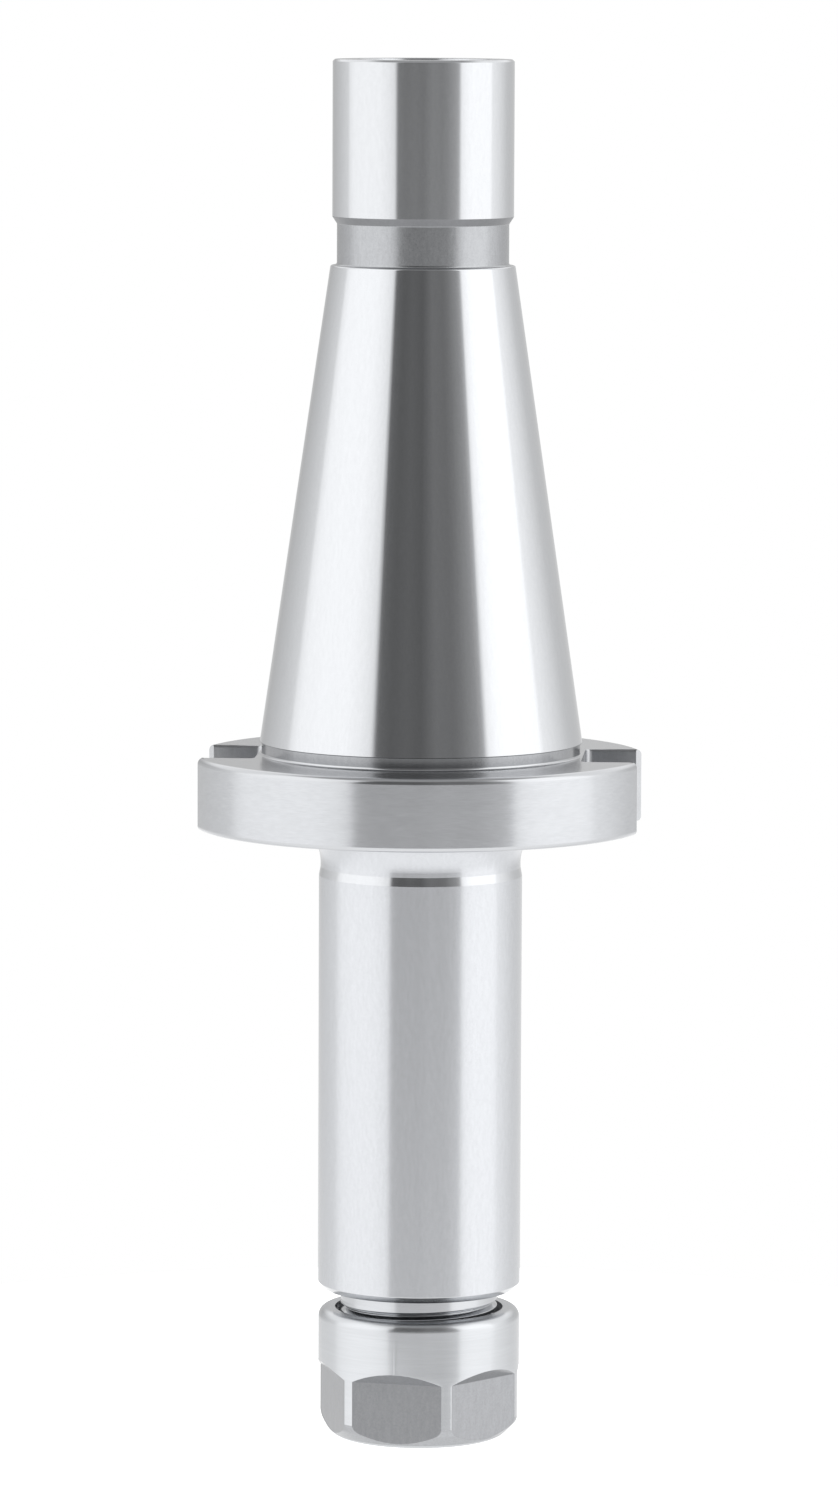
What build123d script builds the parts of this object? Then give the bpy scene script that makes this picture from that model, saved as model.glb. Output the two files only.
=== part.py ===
from build123d import *
import math
import os

# Collet chuck holder: a manual-change steep-taper shank with a slotted flange and a long
# nose, a hexagonal clamping nut and a spring collet.
# The origin is on the axis at the nut's front face, and +Z runs up to the drawbar end.
# The driving slots open towards +X and -X. All lengths are in millimetres.

# Steep taper shank. The steps are differences in radius.
gauge_diameter = 44.45
taper_per_length = 7 / 24
taper_overrun = 0.75
taper_edge_break = 0.3
pilot_diameter = 25.0
pilot_length = 21.54
pilot_shoulder_length = 1.0
taper_end_step = 0.23
groove_depth = 0.65
groove_length = 5.7
groove_corner_radius = 0.4
shank_end_break = 0.3

# Flange and its driving slots
flange_diameter = 63.0
flange_thickness = 10.0
flange_face_drop = 2.5
flange_top_radius = 0.8
flange_bottom_radius = 0.6
relief_step = 0.175
relief_fillet = 0.35
slot_count = 2
slot_width = 16.1
slot_floor_land = 0.45
slot_corner_radius = 1.0
slot_edge_break = 0.2
slot_mouth_break = 0.7

# Long nose below the flange
neck_step = 0.225
neck_fillet = 5.0
neck_straight = 0.65
body_diameter = 28.2
body_length = 58.0
body_run_up = 1.2
body_edge_break = 0.9

# Nose thread, drawn as a plain cylinder at the thread's crest
thread_diameter = 21.85
thread_clearance = 0.06
thread_above_nut = 2.75
nose_stand_off = 0.9
nose_chamfer = 0.9

# Drawbar end: centre chamfer, counterbore and a tapped hole drawn at the thread's root
drawbar_thread_diameter = 16.0
drawbar_thread_depth = 32.0
counterbore_step = 0.5
counterbore_depth = 3.0
centre_chamfer_depth = 1.2
centre_chamfer_angle = 30.0
drill_point_angle = 59.0
through_bore_diameter = 10.5

# Spring collet, slit by turns from its two ends
tool_diameter = 8.0
collet_recess = 0.3
collet_length = 27.5
collet_diameter = 17.0
collet_shoulder_height = 6.3
collet_back_angle = 8.0
collet_front_angle = 30.0
collet_back_break = 0.6
head_diameter = 13.8
head_height = 2.0
head_edge_break = 0.5
hook_groove_depth = 0.9
hook_groove_width = 2.1
slit_width = 0.5
slits_from_each_end = 6
slit_turn = 7.5
front_slit_bridge = 4.0
back_slit_bridge = 6.9
socket_clearance = 0.04

# Clamping nut
nut_height = 17.95
nut_wall = 2.35
nut_top_radius = 1.3
nut_bottom_break = 2.3
nut_bottom_blend = 1.6
nut_mouth_break = 0.4
nut_counterbore_step = 0.775
nut_counterbore_depth = 1.6
nut_lead_in = 0.5
nut_relief_step = 0.475
nut_relief_length = 1.5
nut_floor_gap = 0.55
seat_clearance = 0.05
head_clearance = 0.25
ring_clearance = 0.2
ring_hook = 0.55
ring_offset = 0.45
flat_count = 6
flat_depth = 1.55
flat_height = 8.7
flat_run_out_angle = 45.0
flat_turn = 19.6

# Collet, from its front face up
back_slope = math.tan(math.radians(collet_back_angle))
front_slope = math.tan(math.radians(collet_front_angle))
tool_radius = tool_diameter / 2
head_radius = head_diameter / 2
head_top = collet_recess + head_height
hook_groove_radius = head_radius - hook_groove_depth
hook_groove_top = head_top + hook_groove_width
shoulder_radius = collet_diameter / 2
shoulder_height = collet_recess + collet_shoulder_height
collet_top = collet_recess + collet_length
front_cone_radius = shoulder_radius - (shoulder_height - hook_groove_top) * front_slope
back_cone_radius = shoulder_radius - (collet_top - shoulder_height) * back_slope

# Heights of the holder, from the end of the nose up
nose_end = shoulder_height + nose_stand_off
body_bottom = nut_height + thread_above_nut
body_top = body_bottom + body_length
neck_bottom = body_top + body_run_up
flange_bottom = neck_bottom + neck_straight + neck_fillet
flange_top = flange_bottom + flange_thickness
gauge_height = flange_top + flange_face_drop
taper_bottom = gauge_height - taper_overrun

# Radii of the holder
gauge_radius = gauge_diameter / 2
pilot_radius = pilot_diameter / 2
taper_small_radius = pilot_radius + taper_end_step
taper_big_radius = gauge_radius + taper_overrun * taper_per_length / 2
groove_radius = pilot_radius - groove_depth
relief_radius = gauge_radius - relief_step
flange_radius = flange_diameter / 2
slot_floor = relief_radius + slot_floor_land
body_radius = body_diameter / 2
neck_radius = body_radius - neck_step
thread_radius = thread_diameter / 2
bore_radius = through_bore_diameter / 2

# Heights of the shank, from the gauge line up
taper_top = gauge_height + 2 * (gauge_radius - taper_small_radius) / taper_per_length
groove_top = taper_top + groove_length
pilot_bottom = groove_top + pilot_shoulder_length
shank_end = pilot_bottom + pilot_length


# The vertex of a profile that lies nearest a radius and a height
def corner(profile, radius, height):
    return profile.vertices().sort_by_distance((radius, height))[0]


# Holder: shank, flange and nose are turned and ground from one bar
with BuildPart() as holder_body:
    with BuildSketch(Plane.XZ) as holder_profile:
        with BuildLine():
            Polyline(
                (0, nose_end),
                (thread_radius - nose_chamfer, nose_end),
                (thread_radius, nose_end + nose_chamfer),
                (thread_radius, body_bottom),
                (body_radius - body_edge_break, body_bottom),
                (body_radius, body_bottom + body_edge_break),
                (body_radius, body_top),
                (neck_radius, neck_bottom),
                (neck_radius, flange_bottom),
                (flange_radius, flange_bottom),
                (flange_radius, flange_top),
                (relief_radius, flange_top),
                (relief_radius, taper_bottom),
                (taper_big_radius, taper_bottom),
                (taper_small_radius, taper_top),
                (groove_radius, taper_top),
                (groove_radius, groove_top),
                (pilot_radius, pilot_bottom),
                (pilot_radius, shank_end - shank_end_break),
                (pilot_radius - shank_end_break, shank_end),
                (0, shank_end),
                close=True,
            )
        make_face()
        fillet(corner(holder_profile, neck_radius, flange_bottom), neck_fillet)
        fillet(corner(holder_profile, flange_radius, flange_bottom), flange_bottom_radius)
        fillet(corner(holder_profile, flange_radius, flange_top), flange_top_radius)
        fillet(corner(holder_profile, relief_radius, flange_top), relief_fillet)
        fillet(corner(holder_profile, groove_radius, taper_top), groove_corner_radius)
        chamfer(corner(holder_profile, taper_small_radius, taper_top), taper_edge_break)
    revolve(axis=Axis.Z)

    # Driving slots, open at the rim and through the flange's whole thickness
    slot_reach = 2 * (flange_radius - slot_floor)
    with BuildSketch(Plane.XY.offset(flange_bottom)) as slots:
        with PolarLocations(slot_floor + slot_reach / 2, slot_count):
            Rectangle(slot_reach, slot_width)
        floor_corners = [
            vertex
            for vertex in slots.vertices()
            if math.hypot(vertex.X, vertex.Y) < flange_radius
        ]
        fillet(floor_corners, slot_corner_radius)
    extrude(amount=flange_thickness, mode=Mode.SUBTRACT)

    # The slots' walls have finely broken edges on both faces of the flange
    wall_y = slot_width / 2
    slot_edges = [
        edge
        for edge in holder_body.edges()
        if edge.geom_type != GeomType.CIRCLE
        and all(math.isclose(abs((edge @ end).Y), wall_y, abs_tol=1e-4) for end in (0, 1))
        and abs(edge.center().X) > slot_floor + 1.1 * slot_corner_radius
    ]
    chamfer(slot_edges, slot_edge_break)

    # Wide breaks where the walls meet the rim
    rim_y = wall_y + slot_mouth_break
    mouth_x = math.sqrt(flange_radius**2 - rim_y**2) - slot_mouth_break
    with BuildSketch(Plane.XY.offset(flange_bottom)):
        with PolarLocations(mouth_x, slot_count):
            Polygon(
                (0, -wall_y),
                (slot_reach, -wall_y - slot_reach),
                (slot_reach, wall_y + slot_reach),
                (0, wall_y),
                align=None,
            )
    extrude(amount=flange_thickness, mode=Mode.SUBTRACT)

    # Drawbar end, cut down to the drill point where it meets the through bore
    tapped_radius = drawbar_thread_diameter / 2
    counterbore_radius = tapped_radius + counterbore_step
    counterbore_floor = shank_end - counterbore_depth
    chamfer_run = centre_chamfer_depth * math.tan(math.radians(centre_chamfer_angle))
    tapped_bottom = shank_end - drawbar_thread_depth
    drill_rise = (tapped_radius - bore_radius) / math.tan(math.radians(drill_point_angle))
    with BuildSketch(Plane.XZ):
        with BuildLine():
            Polyline(
                (0, shank_end),
                (counterbore_radius + chamfer_run, shank_end),
                (counterbore_radius, shank_end - centre_chamfer_depth),
                (counterbore_radius, counterbore_floor),
                (tapped_radius, counterbore_floor - counterbore_step),
                (tapped_radius, tapped_bottom),
                (bore_radius, tapped_bottom - drill_rise),
                (0, tapped_bottom - drill_rise),
                close=True,
            )
        make_face()
    revolve(axis=Axis.Z, mode=Mode.SUBTRACT)

    # The collet's conical socket runs up into the through bore
    mouth_drop = (nose_end - shoulder_height) * back_slope
    mouth_radius = shoulder_radius - mouth_drop + socket_clearance
    socket_top = nose_end + (mouth_radius - bore_radius) / back_slope
    with BuildSketch(Plane.XZ):
        with BuildLine():
            Polyline(
                (0, nose_end),
                (mouth_radius, nose_end),
                (bore_radius, socket_top),
                (bore_radius, tapped_bottom),
                (0, tapped_bottom),
                close=True,
            )
        make_face()
    revolve(axis=Axis.Z, mode=Mode.SUBTRACT)

# Spring collet: a bored double cone with a groove that the nut's ring hooks into
with BuildPart() as collet:
    with BuildSketch(Plane.XZ) as collet_profile:
        with BuildLine():
            Polyline(
                (tool_radius, collet_recess),
                (head_radius - head_edge_break, collet_recess),
                (head_radius, collet_recess + head_edge_break),
                (head_radius, head_top),
                (hook_groove_radius, head_top),
                (hook_groove_radius, hook_groove_top),
                (front_cone_radius, hook_groove_top),
                (shoulder_radius, shoulder_height),
                (back_cone_radius, collet_top),
                (tool_radius, collet_top),
                close=True,
            )
        make_face()
        chamfer(corner(collet_profile, back_cone_radius, collet_top), collet_back_break)
    revolve(axis=Axis.Z)

    # Slits from the front stop short of the back end, and those between them the other way
    half_step = 180 / slits_from_each_end
    slit_spans = (
        (slit_turn, collet_recess, collet_top - front_slit_bridge),
        (slit_turn + half_step, collet_recess + back_slit_bridge, collet_top),
    )
    for start_angle, low, high in slit_spans:
        with BuildSketch(Plane.XY.offset(low)):
            with PolarLocations(collet_diameter / 2, slits_from_each_end, start_angle):
                Rectangle(collet_diameter, slit_width)
        extrude(amount=high - low, mode=Mode.SUBTRACT)

# Clamping nut: a turned ring with a hexagon milled on its front half
with BuildPart() as collet_nut:
    nut_thread_radius = thread_radius + thread_clearance
    nut_counterbore_radius = thread_radius + nut_counterbore_step
    nut_counterbore_floor = nut_height - nut_counterbore_depth
    nut_relief_radius = thread_radius + nut_relief_step
    nut_radius = nut_counterbore_radius + nut_wall
    nut_floor = nose_end - nut_floor_gap
    nut_relief_top = nut_floor + nut_relief_length
    nut_mouth_radius = head_radius + head_clearance
    seat_shift = seat_clearance / math.cos(math.radians(collet_front_angle))
    seat_bottom_radius = front_cone_radius + seat_shift
    seat_top_radius = seat_bottom_radius + (nut_floor - hook_groove_top) * front_slope
    ring_bottom = head_top + ring_clearance
    ring_top = hook_groove_top - ring_clearance
    ring_nearest_radius = head_radius - ring_hook
    with BuildSketch(Plane.XZ) as nut_profile:
        with BuildLine():
            Polyline(
                (nut_mouth_radius + nut_mouth_break, 0),
                (nut_radius, 0),
                (nut_radius, nut_height),
                (nut_counterbore_radius, nut_height),
                (nut_counterbore_radius, nut_counterbore_floor),
                (nut_thread_radius + nut_lead_in, nut_counterbore_floor),
                (nut_thread_radius, nut_counterbore_floor - nut_lead_in),
                (nut_thread_radius, nut_relief_top + nut_relief_radius - nut_thread_radius),
                (nut_relief_radius, nut_relief_top),
                (nut_relief_radius, nut_floor),
                (seat_top_radius, nut_floor),
                (seat_bottom_radius, hook_groove_top),
                (seat_bottom_radius, ring_top),
                (ring_nearest_radius, ring_top),
                (ring_nearest_radius, ring_bottom),
                (nut_mouth_radius, ring_bottom),
                (nut_mouth_radius, nut_mouth_break),
                close=True,
            )
        make_face()
        fillet(corner(nut_profile, nut_radius, nut_height), nut_top_radius)
        chamfer(corner(nut_profile, nut_radius, 0), nut_bottom_break)
        fillet(corner(nut_profile, nut_radius, nut_bottom_break), nut_bottom_blend)
        fillet(corner(nut_profile, nut_radius - nut_bottom_break, 0), nut_bottom_blend)
    revolve(axis=Axis.Z)

    # The hook ring is bored off centre, so that only one side of it reaches into the
    # collet's groove
    with BuildSketch(Plane.XY.rotated((0, 0, flat_turn)).offset(ring_bottom)):
        with Locations((ring_offset, 0)):
            Circle(ring_nearest_radius + ring_offset)
    extrude(amount=ring_top - ring_bottom, mode=Mode.SUBTRACT)

    # Wrench flats, each ending in a sloping run-out
    flat_radius = nut_radius - flat_depth
    cutter_depth = 2 * flat_depth
    cutter_rise = cutter_depth * math.tan(math.radians(flat_run_out_angle))
    for index in range(flat_count):
        turn = flat_turn + index * 360 / flat_count
        with BuildSketch(Plane.XZ.rotated((0, 0, turn))):
            with BuildLine():
                Polyline(
                    (flat_radius, -cutter_depth),
                    (flat_radius + cutter_depth, -cutter_depth),
                    (flat_radius + cutter_depth, flat_height + cutter_rise),
                    (flat_radius, flat_height),
                    close=True,
                )
            make_face()
        extrude(amount=nut_radius, both=True, mode=Mode.SUBTRACT)

holder_body.part.label = "holder_body"
collet.part.label = "collet"
collet_nut.part.label = "collet_nut"

os.makedirs("parts", exist_ok=True)
export_step(holder_body.part, "parts/holder_body.step")
export_step(collet.part, "parts/collet.step")
export_step(collet_nut.part, "parts/collet_nut.step")
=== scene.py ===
# Collet chuck holder: a ground taper shank with a slotted flange and a long nose, a clamping
# nut and a spring collet. Sizes in the settings are millimetres, and the meshes are in metres.
import math

import bmesh
import bpy
from mathutils import Matrix, Vector
from mathutils.geometry import tessellate_polygon


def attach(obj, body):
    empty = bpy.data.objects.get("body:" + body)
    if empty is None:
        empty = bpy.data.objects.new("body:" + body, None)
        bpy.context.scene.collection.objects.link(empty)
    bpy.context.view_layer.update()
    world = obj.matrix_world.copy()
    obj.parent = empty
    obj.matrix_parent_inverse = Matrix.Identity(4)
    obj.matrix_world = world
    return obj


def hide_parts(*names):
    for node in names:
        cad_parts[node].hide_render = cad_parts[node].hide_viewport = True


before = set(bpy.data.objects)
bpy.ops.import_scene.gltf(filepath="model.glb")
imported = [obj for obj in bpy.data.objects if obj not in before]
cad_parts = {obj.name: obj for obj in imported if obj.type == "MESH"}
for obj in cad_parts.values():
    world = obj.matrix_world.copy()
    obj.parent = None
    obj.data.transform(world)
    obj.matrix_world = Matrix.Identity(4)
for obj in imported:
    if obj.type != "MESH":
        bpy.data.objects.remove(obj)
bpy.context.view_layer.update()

millimetre = 0.001

meshSettings = {
    "columns": 192,  # points around a turned form
    "hold": 0.03,  # rings this close to a rounding keep the surface beside it flat
    "arcSag": 0.008,  # how far a rounding's chords may lie inside it
    "arcStep": 15,  # degrees, the widest step on any rounding
    "sharpAngle": 22,  # degrees, where the shading breaks
    "weld": 0.0002,
}


# Shader maths
class Value:
    # a socket that sums can be written with, and each sum adds its node
    def __init__(self, recipe, socket):
        self.recipe = recipe
        self.socket = socket

    def output(self, name):
        return Value(self.recipe, self.socket.node.outputs[name])

    def sum(self, operation, first, second):
        return self.recipe.node("ShaderNodeMath", {"operation": operation}, {0: first, 1: second})

    def __add__(self, other):
        return self.sum("ADD", self, other)

    def __radd__(self, other):
        return self.sum("ADD", other, self)

    def __sub__(self, other):
        return self.sum("SUBTRACT", self, other)

    def __rsub__(self, other):
        return self.sum("SUBTRACT", other, self)

    def __mul__(self, other):
        return self.sum("MULTIPLY", self, other)

    def __rmul__(self, other):
        return self.sum("MULTIPLY", other, self)

    def __truediv__(self, other):
        return self.sum("DIVIDE", self, other)

    def __rtruediv__(self, other):
        return self.sum("DIVIDE", other, self)


class Recipe:
    # the node tree of one material or of the studio
    def __init__(self, tree):
        self.tree = tree
        tree.nodes.clear()

    def node(self, kind, settings, sockets):
        node = self.tree.nodes.new(kind)
        for name, setting in settings.items():
            if name == "stops":
                self.setStops(node.color_ramp.elements, setting)
            else:
                setattr(node, name, setting)
        for name, value in sockets.items():
            if isinstance(value, Value):
                self.tree.links.new(value.socket, node.inputs[name])
            else:
                node.inputs[name].default_value = value
        return Value(self, node.outputs[0]) if node.outputs else None

    def setStops(self, elements, stops):
        elements.remove(elements[1])
        elements[0].position, elements[0].color = stops[0]
        for position, colour in stops[1:]:
            elements.new(position).color = colour

    def ramp(self, value, low, high):
        # 0 below low and 1 above high, with a soft start and end
        return self.node("ShaderNodeMapRange", {"interpolation_type": "SMOOTHSTEP"},
                         {"Value": value, "From Min": low, "From Max": high})


# Steel finishes: lines run around the axis, and the shine is smeared across them
grain = {
    "fineDetail": 3, "broadDetail": 2, "cloudDetail": 3,
    "fineShare": 0.6,  # the broad lines make up the rest of the pattern
    "broadening": 8,  # how many times fewer the broad lines are
    "breakLength": 2,  # how many times longer they are between their breaks
    "paleStart": 0.3, "paleEnd": 0.7,  # where in the pattern the colour changes
    "smearTurn": 0.25,
}


def steel(name, look):
    material = bpy.data.materials.new(name)
    material.use_nodes = True
    recipe = Recipe(material.node_tree)
    place = recipe.node("ShaderNodeTexCoord", {}, {}).output("Object")
    split = recipe.node("ShaderNodeSeparateXYZ", {}, {"Vector": place})
    x = split.output("X") / millimetre
    y = split.output("Y") / millimetre
    z = split.output("Z") / millimetre
    radius = recipe.node("ShaderNodeMath", {"operation": "SQRT"}, {0: x * x + y * y})

    def lines(perMillimetre, around, detail):
        spot = recipe.node("ShaderNodeCombineXYZ", {}, {
            "X": x * around, "Y": y * around, "Z": z * perMillimetre,
        })
        return recipe.node("ShaderNodeTexNoise", {"noise_dimensions": "4D"},
                           {"Vector": spot, "W": radius * perMillimetre, "Scale": 1, "Detail": detail})

    fineLines = lines(look["linesPerMillimetre"], look["lineBreaks"], grain["fineDetail"])
    broadLines = lines(look["linesPerMillimetre"] / grain["broadening"],
                       look["lineBreaks"] / grain["breakLength"], grain["broadDetail"])
    cloud = recipe.node("ShaderNodeTexNoise", {}, {
        "Vector": place, "Scale": look["cloudScale"], "Detail": grain["cloudDetail"],
    })
    mixed = fineLines * grain["fineShare"] + broadLines * (1 - grain["fineShare"])
    colour = recipe.node("ShaderNodeMix", {"data_type": "RGBA"}, {
        "Factor": recipe.ramp(mixed, grain["paleStart"], grain["paleEnd"]),
        6: (*[channel * (1 - look["colourSpread"]) for channel in look["colour"]], 1),
        7: (*[channel * (1 + look["colourSpread"]) for channel in look["colour"]], 1),
    }).output(2)
    roughness = look["roughness"] + (mixed - 0.5) * look["roughnessSpread"]
    roughness = roughness + (cloud - 0.5) * look["cloudSpread"]
    bump = recipe.node("ShaderNodeBump", {}, {
        "Strength": 1, "Distance": look["lineDepth"] * millimetre, "Height": mixed,
    })
    shader = recipe.node("ShaderNodeBsdfPrincipled", {}, {
        "Base Color": colour, "Metallic": 1, "Roughness": roughness, "Normal": bump,
        "Anisotropic": look["anisotropy"], "Anisotropic Rotation": grain["smearTurn"],
    })
    recipe.node("ShaderNodeOutputMaterial", {}, {"Surface": shader})
    return material


finishLooks = {
    "ground": {  # taper, pilot and the body's breaks
        "colour": (0.563, 0.573, 0.59), "colourSpread": 0.025,
        "roughness": 0.11, "roughnessSpread": 0.03, "anisotropy": 0.4,
        "linesPerMillimetre": 5, "lineBreaks": 5, "lineDepth": 0.0006,
        "cloudScale": 60, "cloudSpread": 0.03,
    },
    "groove": {  # groove above the taper; on the nut's front break it is painted shade, darkening the band that faces down towards the ground
        "colour": (0.38, 0.388, 0.401), "colourSpread": 0.06,
        "roughness": 0.25, "roughnessSpread": 0.1, "anisotropy": 0,
        "linesPerMillimetre": 4, "lineBreaks": 4, "lineDepth": 0.0012,
        "cloudScale": 60, "cloudSpread": 0.03,
    },
    "shoulder": {  # painted shade: a dark colour on the groove's sloped end and the taper's underside, which both face down
        "colour": (0.21, 0.214, 0.223), "colourSpread": 0.06,
        "roughness": 0.38, "roughnessSpread": 0.08, "anisotropy": 0,
        "linesPerMillimetre": 4, "lineBreaks": 4, "lineDepth": 0.0012,
        "cloudScale": 60, "cloudSpread": 0.03,
    },
    "rim": {  # flange
        "colour": (0.508, 0.518, 0.536), "colourSpread": 0.04,
        "roughness": 0.22, "roughnessSpread": 0.06, "anisotropy": 0.8,
        "linesPerMillimetre": 8, "lineBreaks": 0.8, "lineDepth": 0.0015,
        "cloudScale": 50, "cloudSpread": 0.03,
    },
    "face": {  # flat faces
        "colour": (0.5, 0.509, 0.525), "colourSpread": 0.02,
        "roughness": 0.18, "roughnessSpread": 0.05, "anisotropy": 0.4,
        "linesPerMillimetre": 7, "lineBreaks": 0.15, "lineDepth": 0.001,
        "cloudScale": 50, "cloudSpread": 0.03,
    },
    "satin": {  # body and neck
        "colour": (0.555, 0.566, 0.588), "colourSpread": 0.035,
        "roughness": 0.23, "roughnessSpread": 0.04, "anisotropy": 0.85,
        "linesPerMillimetre": 5, "lineBreaks": 5, "lineDepth": 0.001,
        "cloudScale": 50, "cloudSpread": 0.03,
    },
    "turned": {  # nut and collet
        "colour": (0.545, 0.557, 0.575), "colourSpread": 0.03,
        "roughness": 0.24, "roughnessSpread": 0.06, "anisotropy": 0.9,
        "linesPerMillimetre": 7, "lineBreaks": 0.15, "lineDepth": 0.0015,
        "cloudScale": 50, "cloudSpread": 0.03,
    },
    "slot": {  # driving slots
        "colour": (0.45, 0.458, 0.472), "colourSpread": 0.06,
        "roughness": 0.28, "roughnessSpread": 0.05, "anisotropy": 0,
        "linesPerMillimetre": 4, "lineBreaks": 4, "lineDepth": 0.001,
        "cloudScale": 90, "cloudSpread": 0.05,
    },
    "milled": {  # wrench flats, and painted shadow on the relief under the taper's wide end
        "colour": (0.32, 0.326, 0.338), "colourSpread": 0.07,
        "roughness": 0.17, "roughnessSpread": 0.08, "anisotropy": 0,
        "linesPerMillimetre": 4, "lineBreaks": 4, "lineDepth": 0.001,
        "cloudScale": 90, "cloudSpread": 0.05,
    },
    "thread": {  # threads
        "colour": (0.52, 0.53, 0.547), "colourSpread": 0.02,
        "roughness": 0.17, "roughnessSpread": 0.06, "anisotropy": 0.4,
        "linesPerMillimetre": 9, "lineBreaks": 0.3, "lineDepth": 0.0012,
        "cloudScale": 90, "cloudSpread": 0.05,
    },
    "bore": {  # insides
        "colour": (0.3, 0.305, 0.315), "colourSpread": 0.03,
        "roughness": 0.34, "roughnessSpread": 0.1, "anisotropy": 0.4,
        "linesPerMillimetre": 5, "lineBreaks": 0.2, "lineDepth": 0.002,
        "cloudScale": 90, "cloudSpread": 0.05,
    },
}
finishes = {name: steel(name + "Steel", look) for name, look in finishLooks.items()}
print("finishes made:", len(finishes))


# Turned and threaded forms
def roundedRows(corners):
    # corners are (radius, height, rounding, finish of the stretch that follows)
    hold = meshSettings["hold"]
    rows = []
    for index, (radius, height, rounding, finish) in enumerate(corners):
        here = Vector((radius, height))
        if not rounding:
            rows.append((here, finish))
            continue
        toLast = (Vector(corners[index - 1][:2]) - here).normalized()
        toNext = (Vector(corners[index + 1][:2]) - here).normalized()
        halfAngle = toLast.angle(toNext) / 2
        run = rounding / math.tan(halfAngle)
        centre = here + (toLast + toNext).normalized() * rounding / math.sin(halfAngle)
        firstSpoke = here + toLast * run - centre
        lastSpoke = here + toNext * run - centre
        finest = 2 * math.acos(1 - min(1, meshSettings["arcSag"] / rounding))
        steps = math.ceil((math.pi - 2 * halfAngle) / min(finest, math.radians(meshSettings["arcStep"])))
        lastFinish = corners[index - 1][3]
        rows.append((here + toLast * (run + hold), lastFinish))
        for step in range(steps):
            rows.append((centre + firstSpoke.slerp(lastSpoke, step / steps) * rounding, lastFinish))
        rows.append((centre + lastSpoke, finish))
        rows.append((here + toNext * (run + hold), finish))
    return rows


class Skin:
    # the surface of one piece, gathered ring by ring
    def __init__(self, angles):
        self.angles = angles
        self.points = []
        self.faces = []
        self.finishes = []

    def loop(self, points):
        first = len(self.points)
        self.points.extend(Vector(point) for point in points)
        return list(range(first, len(self.points)))

    def ring(self, radius, height):
        # radius is one number, or a function of the angle
        radii = [radius(angle) if callable(radius) else radius for angle in self.angles]
        return self.loop(
            (reach * math.cos(angle), reach * math.sin(angle), height)
            for reach, angle in zip(radii, self.angles)
        )

    def quad(self, corners, finish, inward=False):
        self.faces.append(tuple(reversed(corners)) if inward else tuple(corners))
        self.finishes.append(finish)

    def band(self, low, high, finish):
        # finish is one name, or one for each column
        for here in range(len(low)):
            after = (here + 1) % len(low)
            name = finish if isinstance(finish, str) else finish[here]
            self.quad((low[here], low[after], high[after], high[here]), name)

    def bands(self, rings, finish):
        for low, high in zip(rings, rings[1:]):
            self.band(low, high, finish)

    def turned(self, corners):
        rows = roundedRows(corners)
        rings = [self.ring(*place) for place, finish in rows]
        for low, high, (place, finish) in zip(rings, rings[1:], rows):
            self.band(low, high, finish)
        return rings

    def plate(self, outer, inner, facesUp, finish):
        # a flat face between two closed loops
        members = outer + inner
        loops = [[self.points[index] for index in loop] for loop in (outer, inner)]
        for corners in tessellate_polygon(loops):
            face = [members[corner] for corner in corners]
            first, second, third = (self.points[index] for index in face)
            turnsUp = (second - first).cross(third - first).z > 0
            self.quad(face, finish, inward=turnsUp != facesUp)

    def thread(self, thread, radiusAt, finish, inward=False):
        # every row climbs one pitch in each turn around the axis, and is cut off level at both ends
        phases = [phase for phase, share in thread["form"][:-1]]
        turns = math.ceil((thread["top"] - thread["bottom"]) / thread["pitch"]) + 1
        rows = []
        for climb in [turn + phase for turn in range(-1, turns) for phase in phases]:
            row = []
            for angle in self.angles:
                height = thread["bottom"] + thread["pitch"] * (climb + angle / math.tau)
                height = min(max(height, thread["bottom"]), thread["top"])
                radius = radiusAt(height, angle)
                row.append((radius * math.cos(angle), radius * math.sin(angle), height))
            rows.append(self.loop(row))
        # the last column joins the first one of the rows that are a turn higher
        for low, high, lowNext, highNext in zip(rows, rows[1:], rows[len(phases):], rows[len(phases) + 1:]):
            lowWrapped = low + lowNext[:1]
            highWrapped = high + highNext[:1]
            for here in range(len(low)):
                corners = (lowWrapped[here], lowWrapped[here + 1], highWrapped[here + 1], highWrapped[here])
                self.quad(corners, finish, inward)

    def piece(self, name, body, node):
        mesh = bpy.data.meshes.new(name)
        mesh.from_pydata([point * millimetre for point in self.points], [], self.faces)
        used = sorted(set(self.finishes))
        for finish in used:
            mesh.materials.append(finishes[finish])
        mesh.polygons.foreach_set("material_index", [used.index(finish) for finish in self.finishes])
        work = bmesh.new()
        work.from_mesh(mesh)
        bmesh.ops.remove_doubles(work, verts=work.verts, dist=meshSettings["weld"] * millimetre)
        work.to_mesh(mesh)
        work.free()
        mesh.shade_smooth()
        mesh.set_sharp_from_angle(angle=math.radians(meshSettings["sharpAngle"]))
        made = bpy.data.objects.new(name, mesh)
        bpy.context.scene.collection.objects.link(made)
        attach(made, body)
        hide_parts(node)
        print(name, "faces:", len(mesh.polygons))


def threadCut(thread, height, angle):
    # how much of the thread's depth is cut at a height and an angle
    phase = ((height - thread["bottom"]) / thread["pitch"] - angle / math.tau) % 1
    for (before, first), (after, last) in zip(thread["form"], thread["form"][1:]):
        if phase <= after:
            return first + (last - first) * (phase - before) / (after - before)
    return 0


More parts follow.
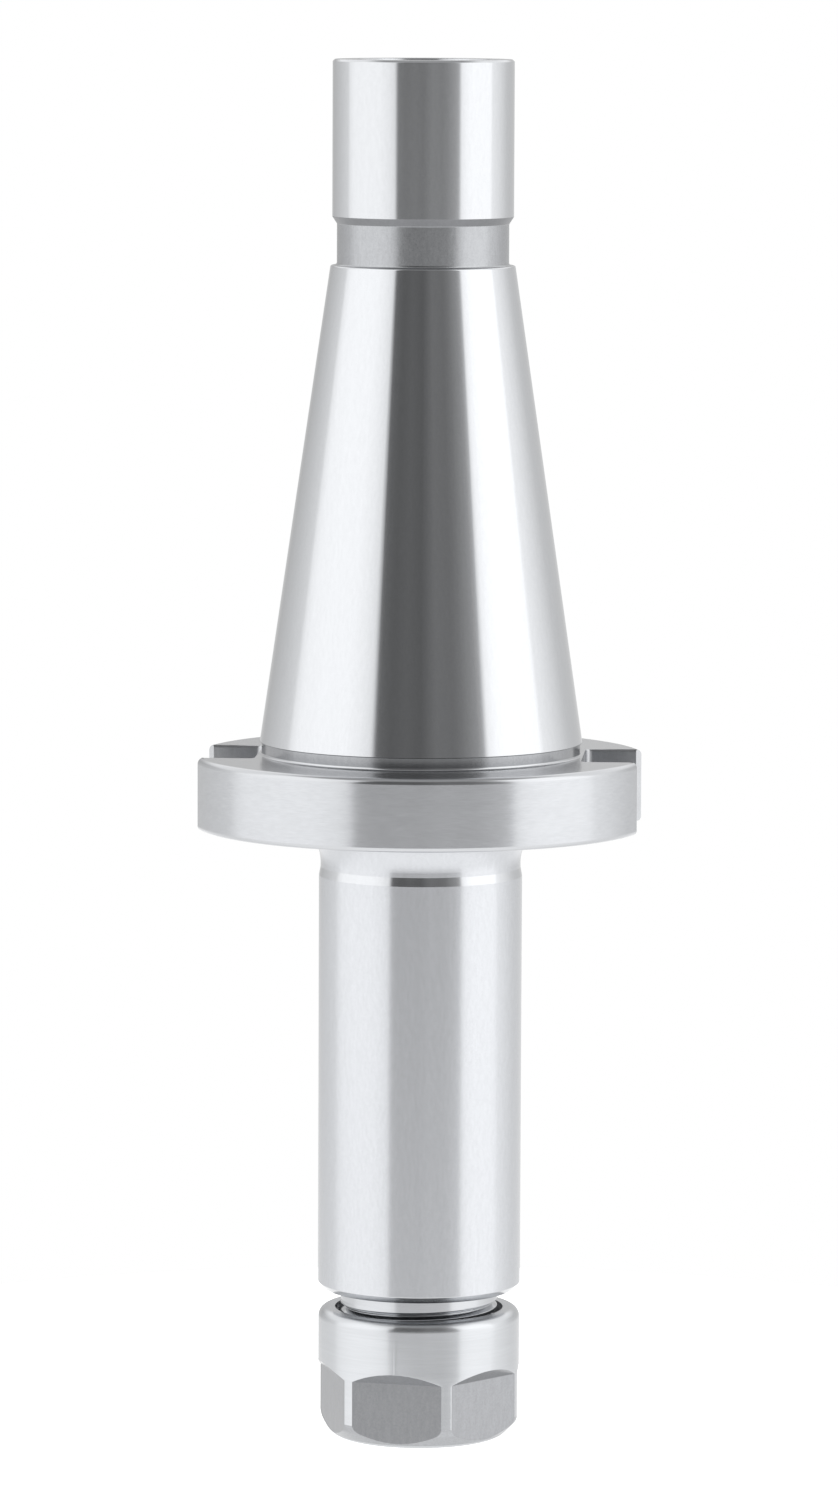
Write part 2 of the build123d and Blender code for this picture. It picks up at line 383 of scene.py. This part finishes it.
# Holder body. A thread's form is one pitch of it: (share of the pitch, share of the depth cut).
noseThread = {
    "bottom": 7.5, "top": 19.3, "pitch": 1.5, "crest": 10.925, "root": 10.2, "fade": 0.5, "chamfer": 0.9,
    "form": [
        (0, 0), (0.14, 0), (0.18, 0.06), (0.44, 0.94), (0.48, 1),
        (0.52, 1), (0.56, 0.94), (0.82, 0.06), (0.86, 0), (1, 0),
    ],
}
drawbarThread = {
    "bottom": 159.4, "top": 187.9, "pitch": 2.0, "root": 8.0, "crest": 6.9, "fade": 2.5,
    "form": [(0, 0), (0.06, 0), (0.36, 1), (0.64, 1), (0.94, 0), (1, 0)],
}
flange = {
    "bottom": 85.55, "top": 95.55, "rim": 31.5, "bottomRounding": 0.6, "topRounding": 0.8,
    "slotHalfWidth": 8.05, "slotFloor": 22.5, "slotCorner": 1.0, "slotEdge": 0.2, "mouthBreak": 0.7,
    "roundingSteps": 6, "rimSteps": 40,
}
holderOutline = {
    # corners as (radius, height, rounding, finish of the stretch that follows)
    "socket": [
        (5.25, 157.75, 0, "bore"), (5.25, 30.01, 0.1, "bore"),  # through bore
        (8.41, 7.5, 0.15, "thread"), (10.025, 7.5, 0, "thread"),  # the socket's mouth and the front end
    ],
    "nose": [
        (10.925, 19.3, 0, "thread"), (10.925, 20.7, 0.1, "face"),  # above the thread
        (13.2, 20.7, 0.1, "ground"), (14.1, 21.6, 0.1, "satin"),  # front break of the body
        (14.1, 78.7, 0.1, "ground"), (13.875, 79.9, 0.1, "satin"),  # step to the neck
        (13.875, 85.55, 5.0, "satin"), (20.5, 85.55, 0, "satin"),  # fillet under the flange
    ],
    "shank": [
        (22.43, 95.55, 0, "face"), (22.05, 95.55, 0.35, "milled"),  # relief on the flange, darkened as painted shadow under the taper's wide end
        (22.05, 97.3, 0.05, "shoulder"), (22.334, 97.3, 0.08, "ground"),  # wide end of the taper, its underside dark with painted shade
        (12.73, 163.16, 0.25, "groove"), (11.85, 163.16, 0.4, "groove"),  # narrow end and groove
        (11.85, 168.86, 0.1, "shoulder"), (12.5, 169.86, 0.1, "ground"),  # the groove's sloped end, dark with painted shade
        (12.5, 191.1, 0.08, "ground"), (12.2, 191.4, 0.08, "groove"),  # pilot
        (9.19, 191.4, 0.1, "turned"), (8.5, 190.2, 0.1, "bore"),  # lead into the counterbore
        (8.5, 188.4, 0.05, "bore"), (8.0, 187.9, 0, "bore"),  # start of the drawbar thread
    ],
    "drawbarEnd": [(8.0, 159.4, 0, "bore"), (5.25, 157.75, 0, "bore")],
}


def noseThreadRadius(height, angle):
    share = threadCut(noseThread, height, angle) * min(1, (noseThread["top"] - height) / noseThread["fade"])
    radius = noseThread["crest"] - share * (noseThread["crest"] - noseThread["root"])
    return min(radius, noseThread["crest"] - noseThread["chamfer"] + height - noseThread["bottom"])


def drawbarThreadRadius(height, angle):
    share = threadCut(drawbarThread, height, angle)
    share *= min(1, (height - drawbarThread["bottom"]) / drawbarThread["fade"])
    radius = drawbarThread["root"] - share * (drawbarThread["root"] - drawbarThread["crest"])
    return max(radius, drawbarThread["root"] - (drawbarThread["top"] - height))


def slottedOutline(rimInset, wallInset, floorInset):
    # one quarter from the slot's floor to the rim, then its mirror images
    rim = flange["rim"] - rimInset
    wall = flange["slotHalfWidth"] + wallInset
    floor = flange["slotFloor"] - floorInset
    corner = flange["slotCorner"]
    mouthBreak = flange["mouthBreak"]
    hold = meshSettings["hold"]
    steps = flange["roundingSteps"]
    quarter = [(floor, 0), (floor, wall - corner - hold)]
    for step in range(steps + 1):
        angle = math.pi * (1 - step / steps / 2)
        quarter.append((floor + corner + corner * math.cos(angle), wall - corner + corner * math.sin(angle)))
    quarter.append((floor + corner + hold, wall))

    # the wide break at the mouth runs out at 45 degrees until it meets the rim
    wallEnd = math.sqrt(flange["rim"] ** 2 - (flange["slotHalfWidth"] + mouthBreak) ** 2) - mouthBreak
    lead = wallEnd - flange["slotHalfWidth"]
    rimY = (math.sqrt(2 * rim ** 2 - lead ** 2) - lead) / 2
    quarter += [(wallEnd + wallInset - hold, wall), (wallEnd + wallInset, wall), (rimY + lead, rimY)]
    inSlot = len(quarter) - 2
    rimStart = math.asin(rimY / rim) + hold / rim
    for step in range(flange["rimSteps"] + 1):
        angle = rimStart + (math.pi / 2 - rimStart) * step / flange["rimSteps"]
        quarter.append((rim * math.cos(angle), rim * math.sin(angle)))
    places = quarter + [(-x, y) for x, y in reversed(quarter[:-1])]
    places += [(-x, -y) for x, y in quarter[1:]] + [(x, -y) for x, y in reversed(quarter[1:-1])]
    names = ["slot"] * (inSlot + 1) + ["rim"] * (len(quarter) - 2 - inSlot)
    return places, names + names[::-1] + names + names[::-1]


def flangeRows():
    # (height, how far the rim is drawn in, the same for the slots' walls, and for their floors)
    hold = meshSettings["hold"]
    edge = flange["slotEdge"]
    rows = []
    for face, rounding, way in (("bottom", "bottomRounding", 1), ("top", "topRounding", -1)):
        reach = flange[rounding]
        half = [(flange[face], reach + hold, edge + hold, hold)]
        for step in range(flange["roundingSteps"] + 1):
            angle = math.pi / 2 * step / flange["roundingSteps"]
            rise = reach * (1 - math.cos(angle))
            wallInset = edge - math.sqrt(max(0, edge ** 2 - max(0, edge - rise) ** 2))
            half.append((flange[face] + way * rise, reach * (1 - math.sin(angle)), wallInset, 0))
        half.append((flange[face] + way * (reach + hold), 0, 0, 0))
        rows += half[::way]
    return rows


def buildHolder():
    columns = meshSettings["columns"]
    skin = Skin([math.tau * column / columns for column in range(columns)])
    skin.turned(holderOutline["socket"])
    skin.thread(noseThread, noseThreadRadius, "thread")
    nose = skin.turned(holderOutline["nose"])

    outlines = []
    for height, rimInset, wallInset, floorInset in flangeRows():
        places, names = slottedOutline(rimInset, wallInset, floorInset)
        outlines.append(skin.loop((x, y, height) for x, y in places))
    # the rim's roundings have the faces' finish
    roundedNames = ["face" if name == "rim" else name for name in names]
    rimRow = len(outlines) // 2 - 1
    for row, (low, high) in enumerate(zip(outlines, outlines[1:])):
        skin.band(low, high, names if row == rimRow else roundedNames)

    shank = skin.turned(holderOutline["shank"])
    skin.plate(outlines[0], nose[-1], False, "turned")
    skin.plate(outlines[-1], shank[0], True, "face")
    skin.thread(drawbarThread, drawbarThreadRadius, "bore", inward=True)
    skin.turned(holderOutline["drawbarEnd"])
    skin.piece("chuckBody", "holder", "holder_body")


buildHolder()


# Clamping nut
nut = {
    "radius": 14.05, "height": 17.95, "topRounding": 1.3, "bottomBreak": 2.3, "bottomBlend": 1.6,
    "flats": 6, "flatReach": 12.5, "flatHeight": 9.15, "flatTurn": 19.6, "flatEdge": 0.06,
    "flatRows": 6, "arcColumns": 13,  # points up a flat's ends, and across the round between two flats
    "mouth": 7.15, "mouthBreak": 0.4,
    "ringOffset": 0.45, "ringRadius": 6.8, "ringBottom": 2.5, "ringTop": 4.2,  # hooks into the collet
    "seatBottom": 7.288, "seatStart": 4.4, "seatTop": 8.76, "floor": 6.95,
    "relief": 11.4, "reliefTop": 8.45, "reliefEdge": 0.1,
    "counterbore": 11.7, "counterboreFloor": 16.35, "leadIn": 11.485, "threadGap": 0.1,
    "edge": 0.05,
}
nutThread = {**noseThread, "bottom": nut["reliefTop"], "top": nut["counterboreFloor"]}


def flatReachAt(height):
    # the wrench flats run out at 45 degrees above their own height
    return nut["flatReach"] + max(0, height - nut["flatHeight"])


def nutSector(radius, reach):
    # one flat and the round on both sides of it, counter-clockwise, with x square to the flat
    hold = meshSettings["hold"]
    half = math.sqrt(max(0, radius ** 2 - reach ** 2))
    flatHalf = max(0, half - nut["flatEdge"])
    flat = [(min(radius, reach), share) for share in (0, flatHalf / 2, max(0, flatHalf - hold), flatHalf)]
    arcStart = math.asin(half / radius) + nut["flatEdge"] / radius
    angles = [arcStart]
    arcStart += hold / radius
    for column in range(nut["arcColumns"] + 1):
        angles.append(arcStart + (math.pi / nut["flats"] - arcStart) * column / nut["arcColumns"])
    side = flat + [(radius * math.cos(angle), radius * math.sin(angle)) for angle in angles]
    return [(x, -y) for x, y in reversed(side[1:-1])] + side


def sectorTurn(sector):
    return math.radians(nut["flatTurn"] + 360 / nut["flats"] * sector)


def nutRing(skin, radius, height):
    places = []
    for sector in range(nut["flats"]):
        turn = Matrix.Rotation(sectorTurn(sector), 2)
        places += [turn @ Vector(place) for place in nutSector(radius, flatReachAt(height))]
    return skin.loop((*place, height) for place in places)


def nutThreadRadius(height, angle):
    share = threadCut(noseThread, height, angle)
    radius = noseThread["crest"] - share * (noseThread["crest"] - noseThread["root"]) + nut["threadGap"]
    leadIn = nut["leadIn"] - (nut["counterboreFloor"] - height)
    relief = nut["relief"] - (height - nut["reliefTop"])
    return max(radius, leadIn, relief)


def hookRingRadius(angle):
    # the ring is bored off centre, so that it reaches into the collet's groove on one side
    away = angle - math.radians(nut["flatTurn"])
    offset = nut["ringOffset"]
    radius = offset * math.cos(away) + math.sqrt(nut["ringRadius"] ** 2 - (offset * math.sin(away)) ** 2)
    return min(radius, nut["mouth"])


def buildNut():
    sector = nutSector(nut["radius"], nut["radius"])
    angles = []
    for index in range(nut["flats"]):
        angles += [sectorTurn(index) + math.atan2(y, x) for x, y in sector]
    skin = Skin(angles)

    flatColumns = len(sector) // 2 - nut["arcColumns"] - 1
    middleColumn = len(sector) // 2 - 1
    isFlat = [abs(column + 0.5 - middleColumn) < flatColumns - 1 for column in range(len(sector))]
    columnNames = {
        finish: ["milled" if flat else finish for flat in isFlat] * nut["flats"]
        for finish in ("turned", "groove")
    }

    widest = math.acos(nut["flatReach"] / nut["radius"])
    flatHeights = []
    for step in range(nut["flatRows"]):
        angle = widest * step / nut["flatRows"]
        chamferRadius = nut["flatReach"] / math.cos(angle)
        flatHeights.append(chamferRadius - nut["radius"] + nut["bottomBreak"])
        flatHeights.append(nut["flatHeight"] + nut["radius"] * math.cos(angle) - nut["flatReach"])
    flatHeights = sorted(flatHeights + [nut["flatHeight"]])

    mouthEdge = nut["mouth"] + nut["mouthBreak"]
    rows = roundedRows([
        (mouthEdge, 0, 0, "turned"),
        # the front break takes the groove's darker finish as painted shade
        (nut["radius"] - nut["bottomBreak"], 0, nut["bottomBlend"], "groove"),
        (nut["radius"], nut["bottomBreak"], nut["bottomBlend"], "turned"),
        (nut["radius"], nut["height"], nut["topRounding"], "turned"),
        (nut["counterbore"], nut["height"], nut["edge"], "bore"),
        (nut["counterbore"], nut["counterboreFloor"], 0, "thread"),
    ])
    places = []
    for (place, finish), (after, nextFinish) in zip(rows, rows[1:] + rows[-1:]):
        places.append((place, finish))
        for height in flatHeights:
            if place.y + meshSettings["weld"] < height < after.y - meshSettings["weld"]:
                places.append((place.lerp(after, (height - place.y) / (after.y - place.y)), finish))
    rings = [nutRing(skin, *place) for place, finish in places]
    for low, high, (place, finish) in zip(rings, rings[1:], places):
        skin.band(low, high, columnNames.get(finish, finish))

    skin.turned([
        (nut["counterbore"], nut["counterboreFloor"], 0, "thread"),
        (nut["leadIn"], nut["counterboreFloor"], 0, "thread"),
    ])
    skin.thread(nutThread, nutThreadRadius, "thread", inward=True)
    skin.turned([
        (nut["relief"], nut["reliefTop"], 0, "bore"),
        (nut["relief"], nut["floor"], nut["reliefEdge"], "bore"),
        (nut["seatTop"], nut["floor"], nut["edge"], "bore"),
        (nut["seatBottom"], nut["seatStart"], 0, "bore"),
        (nut["seatBottom"], nut["ringTop"], 0, "bore"),
    ])
    skin.bands([
        skin.ring(nut["seatBottom"], nut["ringTop"]), skin.ring(hookRingRadius, nut["ringTop"]),
        skin.ring(hookRingRadius, nut["ringBottom"]), skin.ring(nut["mouth"], nut["ringBottom"]),
    ], "bore")
    skin.turned([
        (nut["mouth"], nut["ringBottom"], 0, "bore"),
        (nut["mouth"], nut["mouthBreak"], nut["edge"], "turned"),
        (mouthEdge, 0, 0, "turned"),
    ])
    skin.piece("clampingNut", "nut", "collet_nut")


buildNut()

# Collet: its own solid has the true form, so it only takes its finish
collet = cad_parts["collet"]
collet.data.materials.clear()
collet.data.materials.append(finishes["turned"])
print("collet finished")


# Camera
viewSettings = {
    "distance": 1018.3, "height": 207.7, "azimuth": 3.6, "lookDown": 6.257, "roll": 0.23, "aimLeft": 0.28,
    "lens": 177.4, "sensor": 36,
}
azimuth = math.radians(viewSettings["azimuth"])
towardsCamera = Vector((math.sin(azimuth), -math.cos(azimuth), 0))
cameraRight = Vector((math.cos(azimuth), math.sin(azimuth), 0))


def placeCamera():
    camera = bpy.data.cameras.new("camera")
    camera.lens = viewSettings["lens"]
    camera.sensor_fit = "VERTICAL"
    camera.sensor_height = viewSettings["sensor"]
    stand = bpy.data.objects.new("camera", camera)
    bpy.context.scene.collection.objects.link(stand)
    up = Vector((0, 0, 1))
    drop = viewSettings["distance"] * math.tan(math.radians(viewSettings["lookDown"]))
    eye = towardsCamera * viewSettings["distance"] + up * viewSettings["height"]
    aim = up * (viewSettings["height"] - drop) - cameraRight * viewSettings["aimLeft"]
    look = (aim - eye).to_track_quat("-Z", "Y").to_matrix().to_4x4()
    roll = Matrix.Rotation(math.radians(viewSettings["roll"]), 4, "Z")
    stand.matrix_world = Matrix.Translation(eye * millimetre) @ look @ roll
    bpy.context.scene.camera = stand


placeCamera()
print("camera placed")


# Studio: tall pale walls with a dark gap behind the camera, a dimmer ceiling and a pale floor
studio = {
    # brightness by degrees around the object, from behind it on the left to behind it on the right
    "walls": [
        (-180, 0.66), (-155, 0.63), (-131, 0.86), (-111, 1.08), (-107, 1.36), (-99, 1.5), (-80, 1.54),
        (-57, 1.52), (-45, 1.4), (-36, 1.22), (-33, 0.3), (-22, 0.265), (-11, 0.285), (0, 0.265),
        (11, 0.345), (24, 0.33), (30, 0.37), (41, 0.5), (46, 0.64), (49, 1.44), (57, 1.63), (66, 1.7),
        (95, 1.7), (98, 1.38), (102, 1.36), (115, 1.16), (131, 0.88), (141, 0.8), (155, 0.74), (180, 0.7),
    ],
    "scale": 2,  # brings the walls' brightness into the ramp's range
    # starts, ends and rises below are heights seen from the object, as sines
    "contrast": 1.16, "contrastDrop": 0.15, "contrastRise": (0, 0.17),
    "behind": 1.3, "behindRise": (0.2, 0.45), "behindSpread": (0, 0.3),
    "ceiling": 0.5, "ceilingStart": (0.75, 0.92),
    "ground": (1.2, 1.42),  # behind the object and before it
    "groundSpread": (-0.5, 0.2), "groundStart": (0.03, 0.33),
    "floorRadius": 130, "floorSides": 96, "floorDrop": 0.05,
    "floorGlow": 0.85, "floorColour": (0.8, 0.8, 0.8, 1), "floorRoughness": 0.9,
}
white = (1, 1, 1, 1)


def lightStudio():
    world = bpy.data.worlds.new("studio")
    bpy.context.scene.world = world
    world.use_nodes = True
    recipe = Recipe(world.node_tree)
    direction = recipe.node("ShaderNodeTexCoord", {}, {}).output("Generated")

    def along(axis):
        product = recipe.node("ShaderNodeVectorMath", {"operation": "DOT_PRODUCT"}, {0: direction, 1: axis})
        return product.output("Value")

    height = along(Vector((0, 0, 1)))
    nearness = along(towardsCamera)
    around = recipe.node("ShaderNodeMath", {"operation": "ARCTAN2"}, {0: along(cameraRight), 1: nearness})
    stops = [
        ((degrees + 180) / 360, (*[brightness / studio["scale"]] * 3, 1))
        for degrees, brightness in studio["walls"]
    ]
    walls = recipe.node("ShaderNodeValToRGB", {"stops": stops}, {"Fac": around / math.tau + 0.5})
    walls = walls * studio["scale"]
    high = walls * studio["contrast"] - studio["contrastDrop"]
    rise = recipe.ramp(height, *studio["contrastRise"])
    level = walls + (high - walls) * rise
    behind = recipe.ramp(height, *studio["behindRise"]) * recipe.ramp(nearness * -1, *studio["behindSpread"])
    level = level + (studio["behind"] - level) * behind
    ceiling = recipe.ramp(height, *studio["ceilingStart"])
    level = level + (studio["ceiling"] - level) * ceiling
    groundFar, groundNear = studio["ground"]
    ground = groundFar + recipe.ramp(nearness, *studio["groundSpread"]) * (groundNear - groundFar)
    level = level + (ground - level) * recipe.ramp(height * -1, *studio["groundStart"])
    seen = recipe.node("ShaderNodeLightPath", {}, {}).output("Is Camera Ray")
    # the camera sees plain white, and the steel sees the studio
    light = recipe.node("ShaderNodeBackground", {}, {"Color": white, "Strength": level + (1 - level) * seen})
    recipe.node("ShaderNodeOutputWorld", {}, {"Surface": light})
    bpy.context.scene.view_settings.view_transform = "Standard"


def layFloor():
    mesh = bpy.data.meshes.new("floor")
    work = bmesh.new()
    bmesh.ops.create_circle(
        work, cap_ends=True, segments=studio["floorSides"], radius=studio["floorRadius"] * millimetre
    )
    bmesh.ops.translate(work, verts=work.verts, vec=(0, 0, -studio["floorDrop"] * millimetre))
    work.to_mesh(mesh)
    work.free()
    material = bpy.data.materials.new("paleFloor")
    material.use_nodes = True
    recipe = Recipe(material.node_tree)
    shader = recipe.node("ShaderNodeBsdfPrincipled", {}, {
        "Base Color": studio["floorColour"], "Roughness": studio["floorRoughness"],
        "Emission Color": white, "Emission Strength": studio["floorGlow"],
    })
    recipe.node("ShaderNodeOutputMaterial", {}, {"Surface": shader})
    mesh.materials.append(material)
    floor = bpy.data.objects.new("floor", mesh)
    bpy.context.scene.collection.objects.link(floor)
    floor.visible_glossy = False


lightStudio()
layFloor()
print("studio lit")
